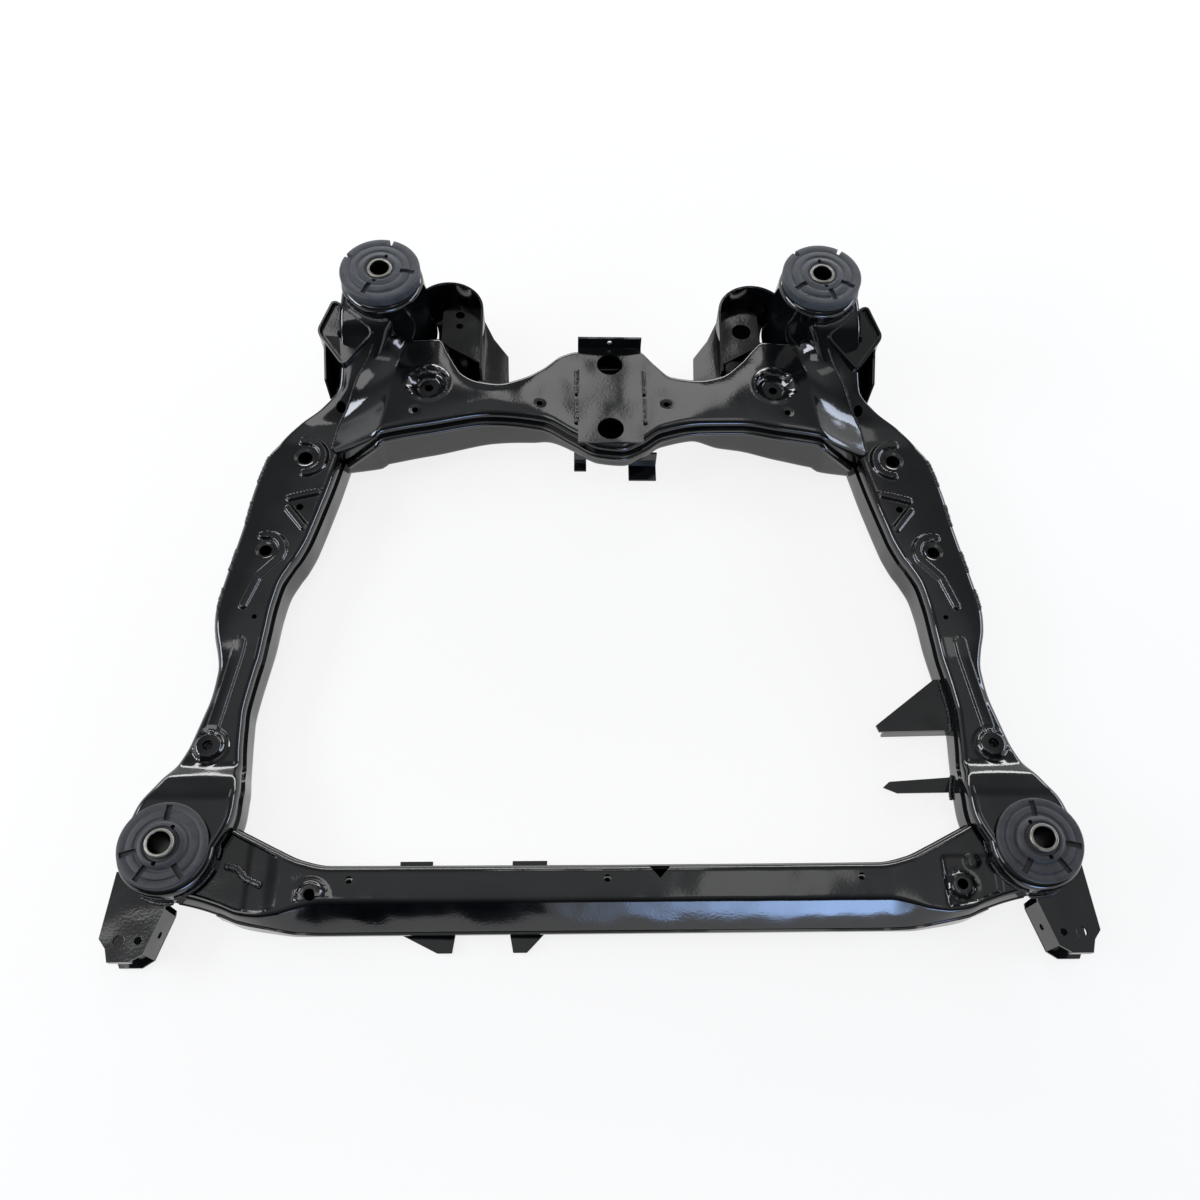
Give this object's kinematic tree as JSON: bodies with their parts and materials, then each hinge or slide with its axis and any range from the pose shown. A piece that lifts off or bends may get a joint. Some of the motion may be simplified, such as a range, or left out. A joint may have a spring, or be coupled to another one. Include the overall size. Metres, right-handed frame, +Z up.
{
  "type": "front suspension subframe",
  "caption": "Welded sheet-steel engine cradle: bowed box rails, front and rear crossmembers, rubber body mounts and brackets that carry the engine, steering gear and control arms.",
  "frame": {"origin": "middle of the part in plan, at the flat undersides of the rails", "axes": "+X across the car, +Y from the front mounts to the rear mounts, +Z up"},
  "size_m": [1.068, 0.883, 0.186],
  "materials": {
    "ecoat": "glossy black dip coat on pressed sheet steel",
    "rubber": "matt moulded rubber",
    "bare_steel": "plain turned steel"
  },
  "bodies": {
    "root": {"left_rail_upper": "ecoat", "right_rail_upper": "ecoat", "left_rail_lower": "ecoat", "right_rail_lower": "ecoat", "front_crossmember_upper": "ecoat", "front_crossmember_lower": "ecoat", "rear_crossmember_upper": "ecoat", "rear_crossmember_lower": "ecoat", "left_rear_tower": "ecoat", "right_rear_tower": "ecoat", "front_left_bushing_can": "ecoat", "front_right_bushing_can": "ecoat", "rear_left_bushing_can": "ecoat", "rear_right_bushing_can": "ecoat", "front_left_bushing_rubber": "rubber", "front_right_bushing_rubber": "rubber", "rear_left_bushing_rubber": "rubber", "rear_right_bushing_rubber": "rubber", "front_left_bushing_sleeve": "bare_steel", "front_right_bushing_sleeve": "bare_steel", "rear_left_bushing_sleeve": "bare_steel", "rear_right_bushing_sleeve": "bare_steel", "left_arm_pocket": "ecoat", "right_arm_pocket": "ecoat", "left_arm_plate": "ecoat", "right_arm_plate": "ecoat", "left_tower_cup": "ecoat", "right_tower_cup": "ecoat", "left_cup_gusset": "ecoat", "right_cup_gusset": "ecoat", "centre_plate": "ecoat", "left_radiator_bracket": "ecoat", "right_radiator_bracket": "ecoat", "engine_gusset": "ecoat", "engine_tab": "ecoat", "front_outer_strap": "ecoat", "front_inner_strap": "ecoat", "line_clip": "ecoat", "hanger_bracket": "ecoat", "left_rail_spacer": "ecoat", "right_rail_spacer": "ecoat", "left_gear_spacer": "ecoat", "right_gear_spacer": "ecoat", "left_weld_nut": "bare_steel", "centre_weld_nut": "bare_steel", "right_weld_nut": "bare_steel"}
  },
  "joints": []
}
